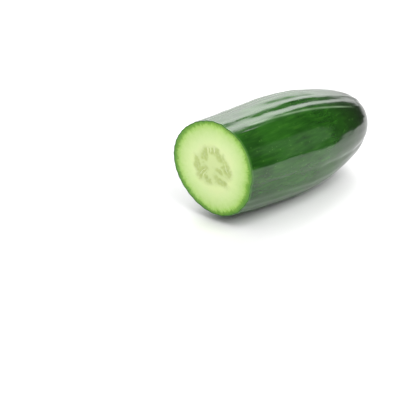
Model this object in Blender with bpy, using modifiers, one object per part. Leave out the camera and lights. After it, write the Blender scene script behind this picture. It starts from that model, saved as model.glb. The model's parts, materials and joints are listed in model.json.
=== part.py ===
"""A greenhouse cucumber cut through, lying on its side: one solid of skin, flesh and seeds.

+X runs along the fruit from the cut face to the stem end and +Z is up. The origin is at the
bottom centre of the whole piece. Lengths are in metres and angles in degrees.
Run it with blender --background --python part.py, or from Blender's text editor.
"""

import math

import bmesh
import bpy
from mathutils import Vector

# Length and thickness
LENGTH = 0.105  # from the middle of the cut face to the tip of the stem end
CUT_RADIUS = 0.023  # mean radius at the cut
BELLY_RADIUS = 0.0249  # mean radius where the fruit is thickest
BELLY_FROM_CUT = 0.046  # from the cut to the thickest place
NOSE_TAPER = 1.67  # a larger power keeps the fruit thick for longer before the stem end
NOSE_BLUNTNESS = 0.40  # a smaller power gives a blunter stem end

# Section: three lobes, one for each seed chamber, and shallow ribs over the vessels under the skin
LOBES = 3
LOBE_HEIGHT = 0.00042
LOBE_ANGLE = 8.0  # of the first lobe, from +Y towards +Z
RIBS = 10
RIB_HEIGHT = 0.00014
RIB_ANGLE = 14.0
SWELL_FADE = 1.5  # a larger power lets lobes and ribs fade sooner towards the stem end

# Stance: the middle of the fruit hangs a little below its ends, and the stem end is lower than the cut
BOW = 0.0012
DROOP = 0.0027
BED_DEPTH = 0.0005  # how far the underside is pressed flat by the fruit's own weight

# The knife went in a few degrees off square
CUT_SKEW = 5.0
SPARE_AT_CUT = 0.004  # length grown beyond the cut, which the knife takes off

# Stem end: a puckered hollow with the round scar of the stalk at its bottom
PUCKER_DEPTH = 0.0012
PUCKER_RADIUS = 0.0055
SCAR_RADIUS = 0.0030
SCAR_RISE = 0.0004

# Fineness of the mesh
SIDES = 90
RINGS_TO_BELLY = 12
RINGS_ON_NOSE = 24
RINGS_ON_STEM_END = 5

SKIN_GREEN = (0.035, 0.115, 0.022, 1.0)
FLESH_GREEN = (0.62, 0.80, 0.34, 1.0)


def clear_scene():
    """Remove what the startup file holds."""
    for old in list(bpy.data.objects):
        bpy.data.objects.remove(old, do_unlink=True)


def mean_radius(x):
    """Radius of the fruit at x along its length, before lobes and ribs."""
    if x < BELLY_FROM_CUT:
        share = (BELLY_FROM_CUT - x) / BELLY_FROM_CUT
        return BELLY_RADIUS - (BELLY_RADIUS - CUT_RADIUS) * share**2
    share = min((x - BELLY_FROM_CUT) / (LENGTH - BELLY_FROM_CUT), 1.0)
    return BELLY_RADIUS * (1.0 - share**NOSE_TAPER) ** NOSE_BLUNTNESS


def stem_end_x(radius):
    """Where the stem end lies at this distance from the axis: a soft hollow with a raised, flat scar in it."""
    hollow = PUCKER_DEPTH * math.exp(-((radius / PUCKER_RADIUS) ** 2))
    scar = max(0.0, 1.0 - (radius / SCAR_RADIUS) ** 4)
    return LENGTH - hollow + SCAR_RISE * scar


def profile_points():
    """The outline to be turned about X, from the axis beyond the cut to the axis at the stem end."""
    points = [(-SPARE_AT_CUT, 0.0)]
    for i in range(RINGS_TO_BELLY):
        x = -SPARE_AT_CUT + (BELLY_FROM_CUT + SPARE_AT_CUT) * i / RINGS_TO_BELLY
        points.append((x, mean_radius(x)))
    for i in range(RINGS_ON_NOSE):
        # Steps that shorten towards the tip, so that the rings stay evenly spaced over the blunt end.
        x = LENGTH - (LENGTH - BELLY_FROM_CUT) * (1.0 - i / RINGS_ON_NOSE) ** (1.0 / NOSE_BLUNTNESS)
        radius = mean_radius(x)
        points.append((x - (LENGTH - stem_end_x(radius)), radius))
    last_radius = points[-1][1]
    for i in range(1, RINGS_ON_STEM_END + 1):
        radius = last_radius * (1.0 - i / RINGS_ON_STEM_END)
        points.append((stem_end_x(radius), radius))
    return points


def turned(name, points):
    """Turn an outline of (x, radius) points about X with a Screw modifier, and return the plain mesh object."""
    mesh = bpy.data.meshes.new(name)
    edges = [(i, i + 1) for i in range(len(points) - 1)]
    mesh.from_pydata([(x, 0.0, radius) for x, radius in points], edges, [])
    outline = bpy.data.objects.new(name + "_outline", mesh)
    bpy.context.scene.collection.objects.link(outline)
    screw = outline.modifiers.new("turn", "SCREW")
    screw.axis = "X"
    screw.steps = SIDES
    screw.render_steps = SIDES
    screw.use_merge_vertices = True
    screw.merge_threshold = 0.00001
    bpy.context.view_layer.update()
    evaluated = outline.evaluated_get(bpy.context.evaluated_depsgraph_get())
    turned_mesh = bpy.data.meshes.new_from_object(evaluated)
    bpy.data.objects.remove(outline)
    return bpy.data.objects.new(name, turned_mesh)


def swelling(angle, radius):
    """How far lobes and ribs push the skin out. Both fade away at the stem end."""
    fade = min(radius / CUT_RADIUS, 1.0) ** SWELL_FADE
    lobes = LOBE_HEIGHT * math.cos(LOBES * (angle - math.radians(LOBE_ANGLE)))
    ribs = RIB_HEIGHT * math.cos(RIBS * (angle - math.radians(RIB_ANGLE)))
    return fade * (lobes + ribs)


def axis_height(x):
    """Height of the fruit's own axis at x, against its height at the cut."""
    share = x / LENGTH
    return -DROOP * share - 4.0 * BOW * share * (1.0 - share)


def shape_fruit(mesh):
    """Give the turned body its lobes and ribs, and let it hang along its bowed axis."""
    for vertex in mesh.vertices:
        x, y, z = vertex.co
        radius = math.hypot(y, z)
        if radius > 0.0:
            grown = 1.0 + swelling(math.atan2(z, y), radius) / radius
            y, z = y * grown, z * grown
        vertex.co = (x, y, z + axis_height(x))


def slice_off(work, point, outward):
    """Cut the body with a plane, take away what lies beyond it, and close the cut with one flat face."""
    geometry = work.verts[:] + work.edges[:] + work.faces[:]
    cut = bmesh.ops.bisect_plane(
        work, geom=geometry, dist=0.000001, plane_co=point, plane_no=outward, clear_outer=True
    )
    rim = [item for item in cut["geom_cut"] if isinstance(item, bmesh.types.BMEdge)]
    bmesh.ops.contextual_create(work, geom=rim)


def press_flat(work):
    """Flatten the underside where the fruit lies on it, and stand it on the ground."""
    lowest = min(vertex.co.z for vertex in work.verts)
    bed = Vector((0.0, 0.0, lowest + BED_DEPTH))
    slice_off(work, bed, Vector((0.0, 0.0, -1.0)))


def centre_on_floor(work):
    """Put the origin at the bottom centre of the piece."""
    low = Vector([min(vertex.co[i] for vertex in work.verts) for i in range(3)])
    high = Vector([max(vertex.co[i] for vertex in work.verts) for i in range(3)])
    middle = (low + high) / 2.0
    bmesh.ops.translate(work, verts=work.verts[:], vec=(-middle.x, -middle.y, -low.z))


def principled(name, colour, roughness, coat):
    """A plain glossy vegetable surface, with a thin clear coat of wax or juice."""
    material = bpy.data.materials.new(name)
    material.use_nodes = True
    shader = material.node_tree.nodes["Principled BSDF"]
    shader.inputs["Base Color"].default_value = colour
    shader.inputs["Roughness"].default_value = roughness
    shader.inputs["Metallic"].default_value = 0.0
    shader.inputs["Coat Weight"].default_value = coat
    material.diffuse_color = colour
    return material


def paint(body, cut_normal):
    """Waxed green skin everywhere, and wet pale flesh on the cut face."""
    body.data.materials.append(principled("waxed_skin", SKIN_GREEN, roughness=0.28, coat=0.5))
    body.data.materials.append(principled("wet_flesh", FLESH_GREEN, roughness=0.35, coat=0.2))
    for face in body.data.polygons:
        on_cut = face.normal.dot(cut_normal) > 0.999
        face.material_index = 1 if on_cut else 0


def make_cucumber():
    """Grow the whole fruit, cut it, and lay it down."""
    body = turned("cucumber", profile_points())
    shape_fruit(body.data)
    skew = math.radians(CUT_SKEW)
    cut_normal = Vector((-math.cos(skew), -math.sin(skew), 0.0))

    work = bmesh.new()
    work.from_mesh(body.data)
    slice_off(work, Vector((0.0, 0.0, 0.0)), cut_normal)
    press_flat(work)
    centre_on_floor(work)
    bmesh.ops.recalc_face_normals(work, faces=work.faces[:])
    work.to_mesh(body.data)
    work.free()

    paint(body, cut_normal)
    body.data.shade_smooth()
    body.data.set_sharp_from_angle(angle=math.radians(30.0))
    return body


clear_scene()
collection = bpy.data.collections.new("cut_cucumber")
bpy.context.scene.collection.children.link(collection)
collection.objects.link(make_cucumber())
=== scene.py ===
"""A cut greenhouse cucumber on a pale floor. Everything is in metres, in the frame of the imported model."""

import json
import math

import bmesh
import bpy
import numpy as np
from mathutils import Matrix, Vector, noise


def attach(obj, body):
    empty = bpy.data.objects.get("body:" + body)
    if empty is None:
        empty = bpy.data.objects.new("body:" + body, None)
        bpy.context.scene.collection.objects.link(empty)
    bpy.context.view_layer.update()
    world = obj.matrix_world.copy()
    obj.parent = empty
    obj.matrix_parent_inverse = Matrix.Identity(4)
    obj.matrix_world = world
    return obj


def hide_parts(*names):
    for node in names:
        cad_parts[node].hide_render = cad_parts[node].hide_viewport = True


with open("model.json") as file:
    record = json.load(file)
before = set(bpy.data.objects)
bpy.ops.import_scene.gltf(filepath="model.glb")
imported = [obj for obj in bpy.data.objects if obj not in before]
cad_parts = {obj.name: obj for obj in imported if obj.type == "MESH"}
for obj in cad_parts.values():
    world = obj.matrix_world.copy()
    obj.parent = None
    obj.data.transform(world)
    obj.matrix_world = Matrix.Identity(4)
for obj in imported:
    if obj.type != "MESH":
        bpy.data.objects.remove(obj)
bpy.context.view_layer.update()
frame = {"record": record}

# ---------------------------------------------------------------------------------------------
# The rind: the fruit's skin, one closed body that everything else sits in. It is a tough layer
# of small dark green cells under a film of wax, and it follows the ridges over the vessels of
# the flesh. The knife has opened one end, and the flesh fills it there.
# ---------------------------------------------------------------------------------------------

MM = 0.001

# The whole fruit, as its solid in the frame has it
LENGTH = 105.0 * MM  # from the middle of the cut to the tip of the stem end
CUT_RADIUS = 23.0 * MM
BELLY_RADIUS = 24.9 * MM
BELLY_FROM_CUT = 46.0 * MM
NOSE_TAPER = 1.67
NOSE_BLUNTNESS = 0.40
LOBES = 3
LOBE_HEIGHT = 0.42 * MM
LOBE_ANGLE = 8.0
BOW = 1.2 * MM
DROOP = 2.7 * MM
PUCKER_DEPTH = 1.2 * MM
PUCKER_RADIUS = 5.5 * MM

# The knife cut, as the record gives it
cut_mount = next(m for m in frame["record"]["mounts"] if m["name"] == "cut_face")
CUT_CENTRE = np.array(cut_mount["pos_m"])
CUT_NORMAL = np.array(cut_mount["axis"])

# Ridges of the skin: angle about the fruit from +Y towards +Z, height and half-width in mm. The narrow ones
# stand close together over the top and the left side, as the fruit lies, and the right side is smoother.
RIDGES = (
    (2, 0.32, 1.0), (10, 0.26, 0.9), (19, 0.34, 1.0), (27, 0.28, 0.9), (36, 0.34, 1.0), (44, 0.26, 0.9),
    (53, 0.36, 1.0), (62, 0.30, 0.9), (70, 0.34, 1.0), (79, 0.30, 1.0), (87.3, 0.17, 0.9),
    (89.8, 0.31, 1.9), (101.8, 0.21, 1.6), (101.3, 0.26, 0.8), (109.4, -0.19, 0.95), (123.4, 0.08, 0.5),
    (133, 0.14, 1.1), (143, 0.16, 1.3), (154, 0.14, 1.4), (166, 0.14, 1.3), (178, 0.12, 1.4),
    (189.5, -0.55, 1.25), (206, 0.25, 1.4), (218, 0.22, 1.3), (231, 0.26, 1.4), (244, 0.22, 1.3),
    (257, 0.28, 1.4), (270, 0.24, 1.4), (283, 0.28, 1.3), (296, 0.23, 1.4), (309, 0.30, 1.4),
    (322, 0.24, 1.2), (333, 0.28, 1.1), (343, 0.26, 1.0), (353, 0.30, 1.0),
)
RIDGE_TWIST = 9.2  # degrees that the ridges turn towards the stem end
TWIST_STARTS = 29.0 * MM  # this far along from the cut
TWIST_OVER = LENGTH - TWIST_STARTS - 25.0 * MM  # the length over which they turn so far
MOST_TWIST = 1.4  # beyond it they go on turning, up to this many times as far
RIDGE_WANDER = 0.2  # degrees that a ridge strays from its line
BETWEEN_RIDGES = 0.12 * MM  # how far the skin between ridges lies inside the smooth fruit
RIDGES_FADE = 9.0 * MM  # nearer than this to the axis the ridges fade
LOWER_AT_STEM = 0.45  # share of their height that they lose on the way to the stem end
SWELL_FADE = 1.5  # a larger power lets lobes and ridges fade sooner towards the stem end

# Low lumps of the skin: their size in mm along, across and up, large and fine
LUMPS, FINE_LUMPS = (9.0, 3.4, 3.4), (3.2, 1.5, 1.5)
LUMP_HEIGHT = 0.045 * MM

# Where the fruit grew fuller or leaner than a turned body: mm from the cut, angle about the fruit, how far
# the swelling spreads along in mm and around in degrees, and its height in mm.
SWELLINGS = (
    (15, 90, 13, 45, -0.55), (52, 90, 17, 45, 0.45), (0, -5, 12, 34, 0.60), (95, 220, 10, 45, 0.45),
)
TIP_HANGS = 0.6 * MM  # how far the last of the stem end droops

RIND_THICKNESS = 0.45 * MM
FLESH_DEPTH = 22.0 * MM  # how far the flesh is modelled behind the cut
BED_INSET = 0.5 * MM  # how much narrower the flesh is there
EDGE = 0.04 * MM  # rings this close to each corner keep the knife's edges crisp
AROUND = 480
ALONG = 176


def mean_radius(x):
    """Radius of the fruit at x from the cut, before lobes and ridges."""
    before = np.clip((BELLY_FROM_CUT - x) / BELLY_FROM_CUT, 0.0, None)
    after = np.clip((x - BELLY_FROM_CUT) / (LENGTH - BELLY_FROM_CUT), 0.0, 1.0)
    body = BELLY_RADIUS - (BELLY_RADIUS - CUT_RADIUS) * before**2
    return np.where(x < BELLY_FROM_CUT, body, BELLY_RADIUS * (1.0 - after**NOSE_TAPER) ** NOSE_BLUNTNESS)


def meridian(stations):
    """Evenly spaced (x, radius) points of the fruit's outline, from the cut to the middle of the stem end."""
    body = np.linspace(0.0, BELLY_FROM_CUT, 200)
    nose = LENGTH - (LENGTH - BELLY_FROM_CUT) * (1.0 - np.linspace(0.0, 1.0, 400)) ** (1.0 / NOSE_BLUNTNESS)
    x = np.concatenate([body, nose[1:]])
    radius = mean_radius(x)
    x = x - PUCKER_DEPTH * np.exp(-((radius / PUCKER_RADIUS) ** 2))
    gone = np.concatenate([[0.0], np.cumsum(np.hypot(np.diff(x), np.diff(radius)))])
    even = np.linspace(0.0, gone[-1], stations)
    return np.interp(even, gone, x), np.interp(even, gone, radius)


def swelling_height(x, angle):
    """How far the uneven growth of the fruit moves its skin outwards."""
    height = np.zeros(np.broadcast(x, angle).shape)
    for place, degrees, spread_along, spread_around, tall in SWELLINGS:
        off = (angle - math.radians(degrees) + math.pi) % (2.0 * math.pi) - math.pi
        reach = ((x / MM - place) / spread_along) ** 2 + (off / math.radians(spread_around)) ** 2
        height = height + tall * MM * np.exp(-reach)
    return height


def ridge_height(x, angle, radius):
    """Height of the ridges over the smooth fruit. They run together at the stem end, and fade there."""
    towards_stem = np.clip((x - TWIST_STARTS) / TWIST_OVER, 0.0, MOST_TWIST)
    twist = math.radians(RIDGE_TWIST) * towards_stem
    height = np.zeros(np.broadcast(x, angle).shape)
    for k, (degrees, tall, wide) in enumerate(RIDGES):
        wander = np.sin(x / (3.1 * MM) + 2.4 * k) * 0.35 + np.sin(x / (1.25 * MM) + 1.1 * k) * 0.12
        wander = wander + np.sin(x / (7.0 * MM) + 1.9 * k * k)
        centre = math.radians(degrees) + twist + math.radians(RIDGE_WANDER) * wander
        off = (angle - centre + math.pi) % (2.0 * math.pi) - math.pi
        swell = 1.0 + 0.25 * np.sin(x / (6.1 * MM) + 2.9 * k) + 0.15 * np.sin(x / (2.3 * MM) + 4.0 * k)
        height = height + tall * MM * swell * np.exp(-0.5 * (off * CUT_RADIUS / (wide * MM)) ** 2)
    fade = np.clip(radius / RIDGES_FADE, 0.0, 1.0) ** SWELL_FADE
    return height * fade * (1.0 - LOWER_AT_STEM * np.clip(towards_stem, 0.0, 1.0) ** 2)


def skin_lumps(points):
    """Low uneven swellings of the skin, a few millimetres across and longer than they are wide."""
    stretched = points / np.array(LUMPS) / MM
    fine = points / np.array(FINE_LUMPS) / MM
    lumps = [noise.noise(Vector(a)) + 0.35 * noise.noise(Vector(b)) for a, b in zip(stretched, fine)]
    return LUMP_HEIGHT * np.array(lumps)


def axis_height(x):
    """Height of the fruit's own axis at x, against its height at the cut."""
    share = x / LENGTH
    return -DROOP * share - 4.0 * BOW * share * (1.0 - share) - TIP_HANGS * np.clip(share, 0.0, 1.0) ** 8


def lay_on_floor(points):
    """Press the underside flat where it lies, with a soft edge to the flat place."""
    softness = 0.05 * MM
    clear = 30.0  # this many softnesses up, the floor no longer tells
    z = points[..., 2] / softness
    points[..., 2] = softness * np.where(z > clear, z, np.log1p(np.exp(np.minimum(z, clear))))
    points[..., 2] -= points[..., 2].min()
    return points


def fruit_skin(stations, around):
    """Points of the skin, one row for each station, from the knife cut to the middle of the stem end."""
    angle = np.linspace(0.0, 2.0 * math.pi, around, endpoint=False)[None, :]
    along, radius = (values[:, None] for values in meridian(stations))
    skew = CUT_NORMAL[1] / CUT_NORMAL[0]
    reach = np.clip(1.0 - along / BELLY_FROM_CUT, 0.0, 1.0) ** 2
    grown = radius
    for _ in range(3):  # the skewed cut moves a point along the fruit, where it is thinner or thicker
        x = along - skew * grown * np.cos(angle) * reach
        lobes = LOBE_HEIGHT * np.cos(LOBES * (angle - math.radians(LOBE_ANGLE)))
        fade = np.clip(radius / CUT_RADIUS, 0.0, 1.0) ** SWELL_FADE
        plain = np.where(along < BELLY_FROM_CUT, mean_radius(x), radius)
        grown = plain + fade * lobes
    smooth = np.stack([x, grown * np.cos(angle), grown * np.sin(angle) + axis_height(x)], axis=-1)
    # Ridges and lumps stand out along the surface's own normal.
    closed = np.concatenate([smooth[:, -1:], smooth, smooth[:, :1]], axis=1)
    down, across = np.gradient(closed, axis=0)[:, 1:-1], np.gradient(closed, axis=1)[:, 1:-1]
    normal = np.cross(across, down)
    normal /= np.maximum(np.linalg.norm(normal, axis=-1, keepdims=True), 1e-12)
    normal[-1] = (1.0, 0.0, 0.0)
    normal[0, :, 0] = 0.0  # at the knife the skin only moves within the plane of the cut
    lift = ridge_height(x, angle, radius) + swelling_height(x, angle) - BETWEEN_RIDGES
    lift = lift + skin_lumps(smooth.reshape(-1, 3)).reshape(lift.shape)
    points = smooth + normal * lift[..., None]
    points[0, :, 0] = -skew * points[0, :, 1]
    return lay_on_floor(points + CUT_CENTRE)


def make_mesh(name, points, faces, **values):
    """A smooth mesh object from points and faces, with a number for each point under each given name.
    The faces of a closed piece are turned to show its outside."""
    mesh = bpy.data.meshes.new(name)
    mesh.from_pydata([tuple(p) for p in points], [], faces)
    mesh.validate()
    work = bmesh.new()
    work.from_mesh(mesh)
    if work.calc_volume(signed=True) < 0.0:
        bmesh.ops.reverse_faces(work, faces=work.faces[:])
        work.to_mesh(mesh)
    work.free()
    mesh.shade_smooth()
    for label, numbers in values.items():
        attribute = mesh.attributes.new(label, "FLOAT", "POINT")
        attribute.data.foreach_set("value", np.asarray(numbers, np.float32))
    made = bpy.data.objects.new(name, mesh)
    bpy.context.scene.collection.objects.link(made)
    return made


def ring_faces(rows, around, closed_start=False, closed_end=False):
    """Faces of a tube of rings, with a fan to one more point at an end that is closed."""
    faces = []
    for i in range(rows - 1):
        for j in range(around):
            k = (j + 1) % around
            faces.append((i * around + j, (i + 1) * around + j, (i + 1) * around + k, i * around + k))
    last = rows * around
    if closed_start:
        faces += [(last, j, (j + 1) % around) for j in range(around)]
        last += 1
    if closed_end:
        base = (rows - 1) * around
        faces += [(last, base + (j + 1) % around, base + j) for j in range(around)]
    return faces


skin = fruit_skin(ALONG, AROUND)
rim = skin[0]
towards_middle = CUT_CENTRE - rim
towards_middle /= np.linalg.norm(towards_middle, axis=1, keepdims=True)
inner_rim = rim + towards_middle * RIND_THICKNESS
bed = inner_rim + towards_middle * BED_INSET - CUT_NORMAL * FLESH_DEPTH
inner_edge = inner_rim - towards_middle * EDGE
outer_edge = rim + towards_middle * EDGE
step_along = np.linalg.norm(skin[1] - rim, axis=1, keepdims=True)
skin_edge = rim + (skin[1] - rim) * EDGE / step_along
knife_rows = np.stack([bed, inner_rim, inner_edge, outer_edge, rim, skin_edge])
rows = np.concatenate([knife_rows, skin[1:-1]])
rind_points = np.concatenate([rows.reshape(-1, 3), [bed.mean(axis=0)], [skin[-1].mean(axis=0)]])
rind_faces = ring_faces(len(rows), AROUND, closed_start=True, closed_end=True)


def per_point(values):
    """A value for each point of the rind, from one for each point of the skin."""
    flat = np.concatenate([np.repeat(values[:1], len(knife_rows), axis=0), values[1:-1]]).reshape(-1)
    return np.concatenate([flat, [values[0].mean()], [values[-1].mean()]])


def smooth_step(values, low, high):
    """0 below low, 1 above high, and a smooth rise between them."""
    share = np.clip((values - low) / (high - low), 0.0, 1.0)
    return share * share * (3.0 - 2.0 * share)


# Two lines along the skin: a thin pale one of painted highlight, where a ridge would mirror the light, and a
# wider one over vessels where the wax is thin. Each has its angle at the cut, how far it turns and how far it
# bends by the stem end, in degrees, its half-width in mm, and where it begins and ends, in mm from the cut.
PAINTED_HIGHLIGHT_LINE = (115.6, 2.1, 26.7, 0.35, 13.0, 83.0)
THIN_WAX = (81.0, 41.9, -10.2, 0.95, 30.0, 64.0)


def line_along(line):
    """1 on a line along the skin, and less towards its sides and its two ends."""
    at_cut, turns, bends, half_width, begins, ends = line
    from_axis = skin - CUT_CENTRE
    x = from_axis[..., 0]
    angle = np.arctan2(from_axis[..., 2] - axis_height(x), from_axis[..., 1])
    share = x / LENGTH
    centre = np.radians(at_cut + turns * share + bends * share**2)
    off = (angle - centre + math.pi) % (2.0 * math.pi) - math.pi
    across = np.exp(-0.5 * (off * CUT_RADIUS / (half_width * MM)) ** 2)
    broken = 0.8 + 0.2 * np.sin(x / (2.7 * MM)) * np.sin(x / (6.3 * MM) + 2.6)  # uneven along its length
    begun = smooth_step(x / MM, begins - 4.0, begins + 6.0)
    ended = smooth_step(x / MM, ends - 8.0, ends + 6.0)
    return across * broken * begun * (1.0 - ended)


from_cut = np.linspace(0.0, 1.0, ALONG)[:, None] * np.ones((1, AROUND))
rind = make_mesh(
    "rind", rind_points, rind_faces, along=per_point(from_cut),
    pale_line=per_point(line_along(PAINTED_HIGHLIGHT_LINE)), thin_wax=per_point(line_along(THIN_WAX)),
)


def linear(hex_colour):
    """An sRGB colour such as 2A6119 as the linear RGBA that shaders take."""
    parts = [int(hex_colour[i : i + 2], 16) / 255.0 for i in (0, 2, 4)]
    return tuple(c / 12.92 if c <= 0.04045 else ((c + 0.055) / 1.055) ** 2.4 for c in parts) + (1.0,)


def add(tree, kind, settings=None, stops=None, **links):
    """Add a shader node. Settings are its properties, stops its colour ramp, and links its inputs by name:
    an output to link or a value to set. A name's spaces are underscores, and i1 stands for input 1."""
    made = tree.nodes.new("ShaderNode" + kind)
    for name, value in (settings or {}).items():
        setattr(made, name, value)
    if stops:
        ramp = made.color_ramp.elements
        while len(ramp) < len(stops):
            ramp.new(0.5)
        for element, (place, colour) in zip(ramp, stops):
            element.position = place
            element.color = linear(colour)
    for name, value in links.items():
        known = name[0] == "i" and name[1:].isdigit()
        socket = made.inputs[int(name[1:]) if known else name.replace("_", " ")]
        if isinstance(value, bpy.types.NodeSocket):
            tree.links.new(value, socket)
        else:
            socket.default_value = value
    return made


def new_material(name):
    """An empty material with its node tree, Principled shader and that shader's inputs."""
    material = bpy.data.materials.new(name)
    material.use_nodes = True
    shader = material.node_tree.nodes["Principled BSDF"]
    return material, material.node_tree, shader


# Cucumber rind, as grown: dark green with paler, yellower flecks drawn out along the fruit, darkest at
# the stem end, and a waxy gloss that the ridges break into streaks. It mirrors less where the wax is thin.
# Light that comes through the flesh turns it a bright green beside the cut. A thin pale line along one
# ridge is a painted highlight.
rind_material, tree, shader = new_material("waxed_cucumber_rind")
place = add(tree, "TexCoord").outputs["Object"]
FLECK_LENGTH, FLECK_WIDTH = 9.0 * MM, 1.5 * MM
drawn_out = add(
    tree, "Mapping", Vector=place, Scale=(1.0 / FLECK_LENGTH, 1.0 / FLECK_WIDTH, 1.0 / FLECK_WIDTH)
).outputs["Vector"]
flecks = add(tree, "TexNoise", Vector=drawn_out, Scale=1.0, Detail=4.0, Roughness=0.6).outputs["Fac"]
PATCH, PATCH_SHARE = 16.0 * MM, 0.45
patches = add(tree, "TexNoise", Vector=place, Scale=1.0 / PATCH, Detail=2.0).outputs["Fac"]
green = add(
    tree, "ValToRGB", Fac=flecks,
    stops=((0.30, "153A0C"), (0.50, "1F4D11"), (0.64, "2C5C18"), (0.78, "3E6E22")),
).outputs["Color"]
deep = add(tree, "ValToRGB", Fac=patches, stops=((0.40, "12360C"), (0.60, "245714"))).outputs["Color"]
mixed = add(tree, "Mix", {"data_type": "RGBA"}, Factor=PATCH_SHARE, i6=green, i7=deep).outputs[2]
DARKENS_FROM, DARKEST_FROM, STEM_DARK = 0.42, 0.84, 0.93  # two shares of the way to the stem end, how dark
along = add(tree, "Attribute", {"attribute_name": "along"}).outputs["Fac"]
stem_share = add(
    tree, "MapRange", {"interpolation_type": "SMOOTHSTEP"},
    Value=along, From_Min=DARKENS_FROM, From_Max=DARKEST_FROM, To_Min=0.0, To_Max=STEM_DARK,
).outputs["Result"]
darkened = add(
    tree, "Mix", {"data_type": "RGBA"}, Factor=stem_share, i6=mixed, i7=linear("141F10")
).outputs[2]
SPECKLES_APART = 2.4 * MM  # breathing pores, each a pale pinprick
PORE, PORE_HALO, PORE_SHARE = 0.07, 0.16, 0.35  # radii as shares of that distance, and how pale
pores = add(tree, "TexVoronoi", Vector=place, Scale=1.0 / SPECKLES_APART).outputs["Distance"]
pore_share = add(
    tree, "MapRange", Value=pores, From_Min=PORE, From_Max=PORE_HALO, To_Min=PORE_SHARE, To_Max=0.0
).outputs["Result"]
speckled = add(
    tree, "Mix", {"data_type": "RGBA"}, Factor=pore_share, i6=darkened, i7=linear("5E8A3C")
).outputs[2]
LIT_THROUGH, LIT_SHARE = 1.2 * MM, 0.5  # how far from the cut the light of the flesh shows, and how much
cut_level = float(CUT_NORMAL @ CUT_CENTRE)
from_knife = add(
    tree, "VectorMath", {"operation": "DOT_PRODUCT"}, i0=place, i1=tuple(CUT_NORMAL)
).outputs["Value"]
lit_share = add(
    tree, "MapRange", {"interpolation_type": "SMOOTHSTEP"},
    Value=from_knife, From_Min=cut_level - LIT_THROUGH, From_Max=cut_level, To_Max=LIT_SHARE,
).outputs["Result"]
lit = add(tree, "Mix", {"data_type": "RGBA"}, Factor=lit_share, i6=speckled, i7=linear("4A8229")).outputs[2]
# Painted highlight: a thin pale line mixed into the colour along one ridge, standing in for the light that
# the ridge mirrors.
HIGHLIGHT_SHARE = 0.45
on_painted_highlight = add(tree, "Attribute", {"attribute_name": "pale_line"}).outputs["Fac"]
highlight_share = add(tree, "Math", {"operation": "MULTIPLY"}, i0=on_painted_highlight, i1=HIGHLIGHT_SHARE).outputs[0]
highlighted = add(tree, "Mix", {"data_type": "RGBA"}, Factor=highlight_share, i6=lit, i7=linear("9DB894")).outputs[2]
tree.links.new(highlighted, shader.inputs["Base Color"])
WAXED, BARE, BARE_FROM = 0.5, 0.05, 0.85  # how much either mirrors, and where the line counts as bare
wax_gone = add(tree, "Attribute", {"attribute_name": "thin_wax"}).outputs["Fac"]
mirroring = add(
    tree, "MapRange", Value=wax_gone, From_Max=BARE_FROM, To_Min=WAXED, To_Max=BARE
).outputs["Result"]
tree.links.new(mirroring, shader.inputs["Specular IOR Level"])
shader.inputs["IOR"].default_value = 1.52
shader.inputs["Roughness"].default_value = 0.17
STRIA, STRIA_LENGTH = 0.7 * MM, 9.0 * MM
striae = add(
    tree, "Mapping", Vector=place, Scale=(1.0 / STRIA_LENGTH, 1.0 / STRIA, 1.0 / STRIA)
).outputs["Vector"]
fine = add(tree, "TexNoise", Vector=striae, Scale=1.0, Detail=3.0).outputs["Fac"]
bump = add(tree, "Bump", Strength=0.35, Distance=0.03 * MM, Height=fine)
tree.links.new(bump.outputs["Normal"], shader.inputs["Normal"])
rind.data.materials.append(rind_material)

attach(rind, "root")
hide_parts("cucumber")

# ---------------------------------------------------------------------------------------------
# The flesh: pale, watery fruit wall that fills the rind and shows at the cut. Its middle is the
# softer seed zone, in three lobes, where pockets of clear jelly have sunk a little below the cut.
# ---------------------------------------------------------------------------------------------

FLESH_ROWS = 110

# The seed zone: mean radius, and how far its three lobes stand out, in mm, and the direction of the first
ZONE_RADIUS, ZONE_LOBE, ZONE_TURN = 10.1, 0.8, 95.0

# Pockets of jelly: the two ends and the half-width, in mm from the middle of the cut, across to the right
# as one faces it and up.
POCKETS = (
    ((-3.5, 9.0), (-6.1, 1.3), 1.9), ((-3.1, 8.1), (1.6, 8.3), 1.4), ((0.6, 9.2), (5.8, 4.9), 2.1),
    ((-10.0, 3.1), (-8.5, -4.1), 1.9), ((5.9, 4.7), (9.7, -2.3), 2.3), ((-4.2, -0.3), (-8.6, -6.8), 1.9),
    ((-5.4, -5.2), (-1.0, -7.9), 1.8), ((0.5, -3.8), (8.3, -7.2), 1.8), ((0.9, -0.1), (5.7, -2.4), 1.6),
)

# How far the wet cut is from flat: flesh swells inside the tight rind, grain, fibres and threads stand out a
# little, and the jelly and the whole seed zone have sunk.
FLESH_SWELLS, GRAIN_HEIGHT, FIBRE_HEIGHT, THREAD_HEIGHT = 0.10 * MM, 0.030 * MM, 0.020 * MM, 0.05 * MM
POCKET_DEPTH, ZONE_DEPTH = 0.14 * MM, 0.05 * MM

# How much deeper the green under the skin reaches on each side: direction over the cut in degrees, and mm
GREENER = ((0, 0.8), (45, -0.5), (90, -0.3), (135, 0.15), (180, 0.7), (225, 0.4), (270, 0.0), (315, 0.4))

# Walls of firmer flesh between the pockets, and pale threads in them: the two ends and the half-width, in mm
WALLS = (
    ((-0.6, 2.4), (-2.8, 6.1), 0.8), ((0.8, 1.3), (6.2, 3.2), 0.7), ((-1.2, 0.4), (-8.0, 3.0), 0.6),
    ((-0.8, -0.7), (-2.5, -5.6), 0.7), ((1.2, -1.7), (9.5, -4.7), 0.6),
)
THREADS = (
    ((-3.2, 9.5), (-3.0, 6.1), 0.30), ((-1.4, 10.1), (-1.3, 7.1), 0.28), ((0.5, 10.4), (0.6, 7.6), 0.26),
    ((-4.8, -1.4), (-8.0, -5.2), 0.15), ((-3.7, -1.9), (-6.5, -6.4), 0.17), ((6.8, 3.6), (8.6, -0.6), 0.15),
)

across_cut = np.cross((0.0, 0.0, 1.0), CUT_NORMAL)
across_cut /= np.linalg.norm(across_cut)
up_cut = np.array((0.0, 0.0, 1.0))


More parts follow.
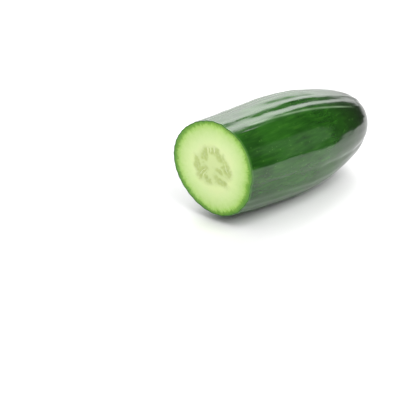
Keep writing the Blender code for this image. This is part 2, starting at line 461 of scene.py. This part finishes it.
def noise_at(a, b, size, layer):
    """Perlin noise over the cut, with lumps of this size in mm. Each layer is another pattern."""
    values = [noise.noise(Vector((x / size, y / size, layer))) for x, y in zip(a.ravel(), b.ravel())]
    return np.array(values).reshape(a.shape)


def spindle(a, b, ends, half_width):
    """1 on the line between two ends, 0 on the outline of a long oval round it, and less outside."""
    (from_a, from_b), (to_a, to_b) = ends
    half_length = math.hypot(to_a - from_a, to_b - from_b) / 2.0
    along_a, along_b = (to_a - from_a) / (2.0 * half_length), (to_b - from_b) / (2.0 * half_length)
    off_a, off_b = a - (from_a + to_a) / 2.0, b - (from_b + to_b) / 2.0
    u = (off_a * along_a + off_b * along_b) / half_length
    v = (off_b * along_a - off_a * along_b) / half_width
    return 1.0 - np.hypot(u, v)


share = (1.0 - np.linspace(0.0, 1.0, FLESH_ROWS) ** 1.1)[:-1, None, None]
flat_flesh = CUT_CENTRE + (inner_rim - CUT_CENTRE)[None] * share
offset = flat_flesh - CUT_CENTRE
a_mm, b_mm = offset @ across_cut / MM, offset @ up_cut / MM
below_skin = np.linalg.norm(inner_rim - CUT_CENTRE, axis=1)[None] * (1.0 - share[..., 0]) / MM

# Nothing that grew has a ruled outline, so the pattern is looked up a little to one side.
strayed_a = a_mm + 0.9 * noise_at(a_mm, b_mm, 2.9, 11.0) + 0.4 * noise_at(a_mm, b_mm, 1.1, 12.0)
strayed_b = b_mm + 0.9 * noise_at(a_mm, b_mm, 2.9, 13.0) + 0.4 * noise_at(a_mm, b_mm, 1.1, 14.0)
jelly, walls, threads = np.zeros(a_mm.shape), np.zeros(a_mm.shape), np.zeros(a_mm.shape)
for *ends, half_width in POCKETS:
    jelly = np.maximum(jelly, smooth_step(spindle(strayed_a, strayed_b, ends, half_width), -0.75, 0.60))
for *ends, half_width in WALLS:
    walls = np.maximum(walls, smooth_step(spindle(strayed_a, strayed_b, ends, half_width), -1.2, 0.9))
for *ends, half_width in THREADS:
    thread_a, thread_b = (a_mm + strayed_a) / 2.0, (b_mm + strayed_b) / 2.0
    threads = np.maximum(threads, smooth_step(spindle(thread_a, thread_b, ends, half_width), -0.5, 0.6))
jelly = jelly * (1.0 - 0.75 * walls) * (1.0 - 0.8 * threads) * (0.85 + 0.45 * noise_at(a_mm, b_mm, 1.3, 15.0))
direction = np.arctan2(strayed_b, strayed_a)
sides, deeper = zip(*GREENER)
greener = np.interp(np.degrees(direction) % 360.0, sides, deeper, period=360.0)
zone_edge = ZONE_RADIUS + ZONE_LOBE * np.cos(3.0 * (direction - math.radians(ZONE_TURN)))
zone = 1.0 - smooth_step(np.hypot(strayed_a + 0.9, strayed_b - 0.2), zone_edge - 1.6, zone_edge + 1.2)

# Fibres run straight in from the skin, and a ring of fine vessels stands a few millimetres below it.
fibres = noise_at(direction * 46.0, np.hypot(a_mm, b_mm) * 0.45, 1.0, 21.0)
fibres = fibres + 0.6 * noise_at(direction * 100.0, np.hypot(a_mm, b_mm) * 0.8, 1.0, 22.0)
fibres = fibres * smooth_step(below_skin, 0.3, 1.5) * (1.0 - 0.7 * zone)
grain = noise_at(a_mm, b_mm, 0.9, 3.0) + 0.5 * noise_at(a_mm, b_mm, 0.35, 7.0)
swollen = FLESH_SWELLS * smooth_step(below_skin, 0.0, 3.0)
relief = swollen + GRAIN_HEIGHT * grain + FIBRE_HEIGHT * fibres
relief = relief - POCKET_DEPTH * jelly - ZONE_DEPTH * zone + THREAD_HEIGHT * threads
relief[0] = 0.0
face = flat_flesh + relief[..., None] * CUT_NORMAL
bed_middle = bed.mean(axis=0)
back = bed_middle + (bed - bed_middle) * 0.99 + CUT_NORMAL * 0.1 * MM  # clear of the rind by a hair
flesh_rows = np.concatenate([back[None], face])
middle = CUT_CENTRE + relief[-1].mean() * CUT_NORMAL
flesh_points = np.concatenate([flesh_rows.reshape(-1, 3), [back.mean(axis=0)], [middle]])
flesh_faces = ring_faces(len(flesh_rows), AROUND, closed_start=True, closed_end=True)


def on_flesh(values):
    """A value for each point of the flesh, from one for each point of its face."""
    return np.concatenate([np.zeros(AROUND), values.reshape(-1), [0.0], [values[-1].mean()]])


flesh = make_mesh(
    "flesh", flesh_points, flesh_faces, jelly=on_flesh(jelly), threads=on_flesh(threads),
    zone=on_flesh(zone), fibres=on_flesh(fibres), depth=on_flesh(below_skin - greener),
)

# Wet cucumber flesh, sliced: bright green under the skin, then pale yellow-green with a greener middle, and
# clearer and darker in the jelly. Light goes a little way in, so nothing on it has a hard shadow.
flesh_material, tree, shader = new_material("wet_cucumber_flesh")
place = add(tree, "TexCoord").outputs["Object"]
depth = add(tree, "Attribute", {"attribute_name": "depth"}).outputs["Fac"]
MOTTLE, FIBRE_SHARE, THREAD_SHARE = 2.2 * MM, 0.6, 0.85
mottle = add(tree, "TexNoise", Vector=place, Scale=1.0 / MOTTLE, Detail=3.0).outputs["Fac"]
uneven = add(tree, "MapRange", Value=mottle, To_Min=-1.2, To_Max=1.2).outputs["Result"]
fibre = add(tree, "Attribute", {"attribute_name": "fibres"}).outputs["Fac"]
streaked = add(tree, "Math", {"operation": "MULTIPLY_ADD"}, i0=fibre, i1=FIBRE_SHARE, i2=uneven).outputs[0]
read = add(tree, "Math", {"operation": "ADD"}, i0=depth, i1=streaked).outputs[0]
DEEPEST = 24.0  # mm, where the ramp ends
scaled = add(tree, "MapRange", Value=read, From_Max=DEEPEST).outputs["Result"]
wall = add(
    tree, "ValToRGB", Fac=scaled,
    stops=(
        (0.0, "5F9C2E"), (0.045, "7FB33E"), (0.085, "AED86C"), (0.15, "C5E48C"),
        (0.24, "D3EC9E"), (0.36, "DEF3AE"), (0.48, "E6F6B6"), (1.0, "E2F2B0"),
    ),
).outputs["Color"]
in_zone = add(tree, "Attribute", {"attribute_name": "zone"}).outputs["Fac"]
softer = add(tree, "Mix", {"data_type": "RGBA"}, Factor=in_zone, i6=wall, i7=linear("D9E9A6")).outputs[2]
in_jelly = add(tree, "Attribute", {"attribute_name": "jelly"}).outputs["Fac"]
jellied = add(tree, "Mix", {"data_type": "RGBA"}, Factor=in_jelly, i6=softer, i7=linear("BED17C")).outputs[2]
in_thread = add(tree, "Attribute", {"attribute_name": "threads"}).outputs["Fac"]
thread_share = add(tree, "Math", {"operation": "MULTIPLY"}, i0=in_thread, i1=THREAD_SHARE).outputs[0]
coloured = add(
    tree, "Mix", {"data_type": "RGBA"}, Factor=thread_share, i6=jellied, i7=linear("E8F5BC")
).outputs[2]
tree.links.new(coloured, shader.inputs["Base Color"])
shader.inputs["IOR"].default_value = 1.36
wetness = add(tree, "MapRange", Value=in_jelly, To_Min=0.36, To_Max=0.16).outputs["Result"]
tree.links.new(wetness, shader.inputs["Roughness"])
shader.inputs["Subsurface Weight"].default_value = 0.5
shader.inputs["Subsurface Radius"].default_value = (1.0, 1.0, 0.5)
shader.inputs["Subsurface Scale"].default_value = 1.5 * MM
CELL = 0.45 * MM
cells = add(tree, "TexNoise", Vector=place, Scale=1.0 / CELL, Detail=2.0).outputs["Fac"]
bump = add(tree, "Bump", Strength=0.3, Distance=0.05 * MM, Height=cells)
tree.links.new(bump.outputs["Normal"], shader.inputs["Normal"])
flesh.data.materials.append(flesh_material)

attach(flesh, "root")
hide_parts("cucumber")

# ---------------------------------------------------------------------------------------------
# The seeds: thin, soft, unripe seeds, one or two to a pocket, with their pointed ends towards the
# middle. The knife has cut them flush, and the jelly round them has sunk away.
# ---------------------------------------------------------------------------------------------

# The two ends, inner end first, and the half-width of each seed, in mm over the cut
SEEDS = (
    ((-5.7, 3.2), (-4.8, 7.2), 0.42), ((4.5, 6.2), (1.5, 8.6), 0.45), ((-8.6, -3.2), (-9.2, 0.9), 0.45),
    ((6.8, -0.6), (6.0, 3.2), 0.42), ((8.9, -0.8), (7.8, 2.6), 0.40), ((-6.0, -2.2), (-7.7, -5.6), 0.45),
    ((-4.3, -6.2), (-2.3, -7.3), 0.38), ((2.9, -4.9), (6.7, -6.5), 0.42), ((2.1, -0.7), (4.7, -1.8), 0.38),
)
SEED_REACH = 2.6 * MM  # how far a seed goes down into the flesh
SEED_SIDES = 48
# A seed's top from its middle outwards: share of its outline, and height over the cut in mm
SEED_TOP = ((0.30, 0.02), (0.62, 0.0), (0.86, -0.04), (0.97, -0.09), (1.0, -0.18))
SEED_FOOT = 0.96  # share of the outline at its lower end


def seed_mesh(name, inner, outer, half_width):
    """A closed seed, cut across: a pointed oval with a slightly domed top and straight sides."""
    inner, outer = np.array(inner), np.array(outer)
    half_length = np.linalg.norm(outer - inner) / 2.0
    along = (outer - inner) / (2.0 * half_length)
    across = np.array((-along[1], along[0]))
    turn = np.linspace(0.0, 2.0 * math.pi, SEED_SIDES, endpoint=False)
    narrowing = 0.62 + 0.38 * smooth_step(np.cos(turn), -1.0, 0.2)
    u, v = half_length * np.cos(turn), half_width * np.sin(turn) * np.abs(np.sin(turn)) ** 0.35 * narrowing
    outline = (inner + outer) / 2.0 + u[:, None] * along + v[:, None] * across
    centre = outline.mean(axis=0)
    rings = []
    for size, level in [(size, height * MM) for size, height in SEED_TOP] + [(SEED_FOOT, -SEED_REACH)]:
        flat = centre + (outline - centre) * size
        rings.append(
            CUT_CENTRE + flat[:, :1] * MM * across_cut + flat[:, 1:] * MM * up_cut + level * CUT_NORMAL
        )
    rows = np.array(rings)[::-1]
    points = np.concatenate([rows.reshape(-1, 3), [rows[0].mean(axis=0)], [rows[-1].mean(axis=0)]])
    return make_mesh(name, points, ring_faces(len(rows), SEED_SIDES, closed_start=True, closed_end=True))


# Unripe seed, soft and wet: paler than the jelly round it, and nearly as pale as the flesh.
seed_material, tree, shader = new_material("unripe_seed_coat")
place = add(tree, "TexCoord").outputs["Object"]
SEED_MOTTLE = 1.1 * MM
mottle = add(tree, "TexNoise", Vector=place, Scale=1.0 / SEED_MOTTLE, Detail=3.0).outputs["Fac"]
pale = add(
    tree, "ValToRGB", Fac=mottle, stops=((0.30, "BFD284"), (0.50, "C8DA90"), (0.70, "D4E4A0"))
).outputs["Color"]
tree.links.new(pale, shader.inputs["Base Color"])
shader.inputs["IOR"].default_value = 1.38
shader.inputs["Roughness"].default_value = 0.25
shader.inputs["Subsurface Weight"].default_value = 0.4
shader.inputs["Subsurface Radius"].default_value = (1.0, 1.0, 0.5)
shader.inputs["Subsurface Scale"].default_value = 1.0 * MM

for number, (inner, outer, half_width) in enumerate(SEEDS, start=1):
    seed = seed_mesh(f"seed_{number}", inner, outer, half_width)
    seed.data.materials.append(seed_material)
    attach(seed, "root")
    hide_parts("cucumber")

# ---------------------------------------------------------------------------------------------
# The stem scar: the round plate of dry cork that closed the wound where the stalk was, in the
# puckered hollow of the far end. It has shrunk and cracked outwards from its middle.
# ---------------------------------------------------------------------------------------------

SCAR_RADIUS = 3.0 * MM
SCAR_RISE = 0.40 * MM
SCAR_RINGS, SCAR_SIDES = 40, 120
CRACKS = 9
RIM_HEIGHT, DIMPLE_DEPTH, CRUMB_HEIGHT, CRACK_DEPTH = 0.10 * MM, 0.15 * MM, 0.07 * MM, 0.16 * MM
SCAR_SET_IN = 0.9 * MM  # how far its edge goes down into the rind

reach = np.linspace(1.0, 0.0, SCAR_RINGS)[:-1, None] ** 0.8
turn = np.linspace(0.0, 2.0 * math.pi, SCAR_SIDES, endpoint=False)[None, :]
ragged = 1.0 + 0.05 * np.sin(3.0 * turn + 0.7) + 0.04 * np.sin(7.0 * turn) + 0.02 * np.sin(17.0 * turn + 2.0)
radius = SCAR_RADIUS * reach * ragged
hollow = PUCKER_DEPTH * np.exp(-((radius / PUCKER_RADIUS) ** 2))
crumbs = noise_at(radius * np.cos(turn) / MM, radius * np.sin(turn) / MM, 0.5, 31.0)
crack_line = np.abs(np.sin(0.5 * CRACKS * (turn + 0.25 * np.sin(reach * 5.0 + turn * 2.0))))
cracks = np.exp(-((crack_line * reach / 0.10) ** 2)) * smooth_step(reach, 0.15, 0.5) * (1.0 - reach**6)
rim_ring = np.exp(-(((reach - 0.82) / 0.10) ** 2))
height = SCAR_RISE * (1.0 - reach**8) + RIM_HEIGHT * rim_ring - DIMPLE_DEPTH * np.exp(-((reach / 0.3) ** 2))
height = height + CRUMB_HEIGHT * crumbs * (1.0 - reach**6) - CRACK_DEPTH * cracks
plate = np.stack([LENGTH - hollow + height, radius * np.cos(turn), radius * np.sin(turn)], axis=-1)
sunk = plate[:1] - np.array((SCAR_SET_IN, 0.0, 0.0))
plate = np.concatenate([sunk, plate])
plate[..., 2] += axis_height(LENGTH)
plate = plate + CUT_CENTRE
scar_points = np.concatenate([plate.reshape(-1, 3), [plate[0].mean(axis=0)], [plate[-1].mean(axis=0)]])
dry = np.concatenate([np.zeros((1, SCAR_SIDES)), cracks]).reshape(-1)
scar = make_mesh(
    "stem_scar", scar_points, ring_faces(len(plate), SCAR_SIDES, closed_start=True, closed_end=True),
    cracks=np.concatenate([dry, [0.0, 0.0]]),
)

# Wound cork, dry and crumbly: a dull straw brown, paler on top and dark in the cracks, with no gloss at all.
scar_material, tree, shader = new_material("wound_cork")
place = add(tree, "TexCoord").outputs["Object"]
CRUMB = 0.6 * MM
crumb = add(tree, "TexNoise", Vector=place, Scale=1.0 / CRUMB, Detail=4.0, Roughness=0.7).outputs["Fac"]
tan = add(
    tree, "ValToRGB", Fac=crumb, stops=((0.30, "6E6238"), (0.50, "9A8C5A"), (0.68, "B9AE7E"))
).outputs["Color"]
in_crack = add(tree, "Attribute", {"attribute_name": "cracks"}).outputs["Fac"]
cracked = add(tree, "Mix", {"data_type": "RGBA"}, Factor=in_crack, i6=tan, i7=linear("3B3A1E")).outputs[2]
tree.links.new(cracked, shader.inputs["Base Color"])
shader.inputs["Roughness"].default_value = 0.88
bump = add(tree, "Bump", Strength=0.6, Distance=0.08 * MM, Height=crumb)
tree.links.new(bump.outputs["Normal"], shader.inputs["Normal"])
scar.data.materials.append(scar_material)

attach(scar, "root")
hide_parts("cucumber")

# ---------------------------------------------------------------------------------------------
# The floor, the light and the camera: a white table in a studio. A tall window of soft light stands
# behind the fruit, soft boxes light the cut, the right side and the top, and the right is kept dark.
# ---------------------------------------------------------------------------------------------

FLOOR_HALF = 2.5
AIM_HEIGHT = 0.025  # of the middle of the fruit, which the lamps face
ROOM_LIGHT, ROOM_SEEN = 0.12, 1.0  # how bright the room is for the fruit and for the camera
floor_corners = [(u * FLOOR_HALF, v * FLOOR_HALF, 0.0) for u, v in ((-1, -1), (1, -1), (1, 1), (-1, 1))]
floor = make_mesh("floor", floor_corners, [(0, 1, 2, 3)])
floor_material, tree, shader = new_material("white_table")
shader.inputs["Base Color"].default_value = linear("F2F2F2")
shader.inputs["Roughness"].default_value = 0.6
floor.data.materials.append(floor_material)


def soft_box(name, azimuth, elevation, distance, width, height, radiance, upright=False):
    """A rectangular lamp that faces the fruit, or stands upright. The camera itself does not see it."""
    lamp = bpy.data.lights.new(name, "AREA")
    lamp.shape = "RECTANGLE"
    lamp.size, lamp.size_y = width, height
    lamp.energy = radiance * math.pi * width * height
    made = bpy.data.objects.new(name, lamp)
    a, e = math.radians(azimuth), math.radians(elevation)
    towards = Vector((math.cos(a) * math.cos(e), math.sin(a) * math.cos(e), math.sin(e)))
    made.location = Vector((0.0, 0.0, AIM_HEIGHT)) + towards * distance
    if upright:
        towards.z = 0.0
    made.rotation_euler = towards.to_track_quat("Z", "Y").to_euler()
    made.visible_camera = False
    bpy.context.scene.collection.objects.link(made)
    return made


# The window is brightest at its top: where each part of it begins and ends, as degrees of elevation from
# the fruit, and its radiance.
WINDOW_AZIMUTH, WINDOW_AWAY, WINDOW_WIDE = 45.0, 1.0, 1.35
for low, high, radiance in ((0.5, 10.0, 1.4), (10.0, 22.0, 2.1), (22.0, 34.0, 3.1), (34.0, 60.0, 4.7)):
    bottom, top = (WINDOW_AWAY * math.tan(math.radians(e)) for e in (low, high))
    height = (bottom + top) / 2.0
    soft_box(
        f"window_from_{low:.0f}", WINDOW_AZIMUTH, math.degrees(math.atan(height / WINDOW_AWAY)),
        distance=math.hypot(height, WINDOW_AWAY), width=WINDOW_WIDE, height=top - bottom, radiance=radiance,
        upright=True,
    )
soft_box("side_panel", -51, 13.5, distance=0.15, width=0.07, height=0.08, radiance=0.45, upright=True)
soft_box("top_box", -120, 82, distance=1.2, width=1.2, height=1.2, radiance=1.0)
soft_box("front_box", -92, 47, distance=0.38, width=0.40, height=0.30, radiance=4.15)
soft_box("cut_box", 168, 44, distance=0.45, width=0.40, height=0.40, radiance=1.08)

# A black card stands to the right, so that the skin there mirrors dark and keeps its deep green. It only
# shows in reflections, and takes no light from the table. Its ends are counted along it from the place
# nearest the fruit, and its far end stops short of the window.
CARD_AZIMUTH, CARD_AWAY, CARD_TALL = -45.0, 0.15, 0.32
CARD_NEAR_END, CARD_FAR_END = -0.45, 0.15
turned = math.radians(CARD_AZIMUTH)
outwards = np.array((math.cos(turned), math.sin(turned), 0.0))
sideways = np.array((-outwards[1], outwards[0], 0.0))
corners = []
for end, up in ((CARD_NEAR_END, 0.0), (CARD_FAR_END, 0.0), (CARD_FAR_END, 1.0), (CARD_NEAR_END, 1.0)):
    corners.append(outwards * CARD_AWAY + sideways * end + up_cut * (1.0 * MM + up * CARD_TALL))
card = make_mesh("black_card", corners, [(0, 1, 2, 3)])
card_material, tree, shader = new_material("black_felt")
shader.inputs["Base Color"].default_value = linear("161616")
shader.inputs["Roughness"].default_value = 0.9
card.data.materials.append(card_material)
card.visible_camera = False
card.visible_diffuse = False
card.visible_shadow = False

world = bpy.data.worlds.new("studio")
world.use_nodes = True
bpy.context.scene.world = world
room = world.node_tree
background = room.nodes["Background"]
seen = add(room, "LightPath").outputs["Is Camera Ray"]
bright = add(room, "MapRange", Value=seen, To_Min=ROOM_LIGHT, To_Max=ROOM_SEEN).outputs["Result"]
room.links.new(bright, background.inputs["Strength"])
background.inputs["Color"].default_value = (1.0, 1.0, 1.0, 1.0)

camera_data = bpy.data.cameras.new("camera")
camera_data.lens = 117.5
camera_data.sensor_width = 36.0
camera = bpy.data.objects.new("camera", camera_data)
LOOK_AZIMUTH, LOOK_DOWN = 44.89, 25.0
CAMERA_FROM_CUT = np.array((-393.9, -383.9, 240.2)) * MM
camera.location = Vector(CUT_CENTRE + CAMERA_FROM_CUT)
camera.rotation_euler = (math.radians(90.0 - LOOK_DOWN), 0.0, math.radians(LOOK_AZIMUTH - 90.0))
bpy.context.scene.collection.objects.link(camera)
bpy.context.scene.camera = camera
bpy.context.scene.view_settings.view_transform = "Standard"
